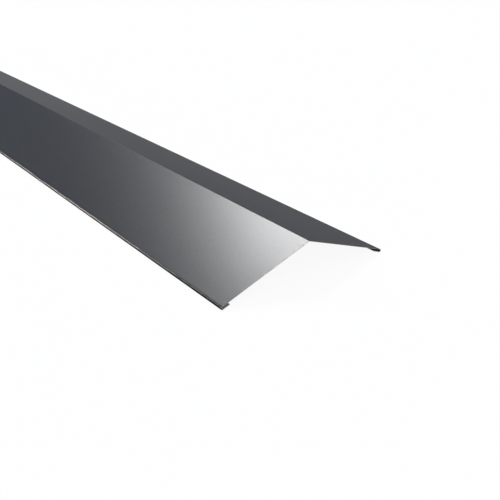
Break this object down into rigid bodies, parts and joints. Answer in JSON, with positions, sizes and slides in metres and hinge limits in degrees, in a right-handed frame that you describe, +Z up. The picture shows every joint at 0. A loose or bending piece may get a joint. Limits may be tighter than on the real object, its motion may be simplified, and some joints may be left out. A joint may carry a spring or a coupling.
{
  "type": "roof ridge cap",
  "caption": "Folded sheet-metal ridge cap: two sloping flanges meet at a bent ridge, each edge turned under as an open hem; covers the gap at the ridge of a pitched roof.",
  "frame": {"origin": "under the middle of the cap, on the level that its two hems stand on", "axes": "+X along the ridge, +Y across the cap towards its back flange, +Z up; the cap is symmetric about the XZ plane and the YZ plane"},
  "size_m": [2, 0.2806, 0.0548],
  "materials": {
    "coated_sheet": "satin graphite grey polyester coating over galvanised steel"
  },
  "bodies": {
    "root": {"ridge_cap": "coated_sheet"}
  },
  "joints": []
}
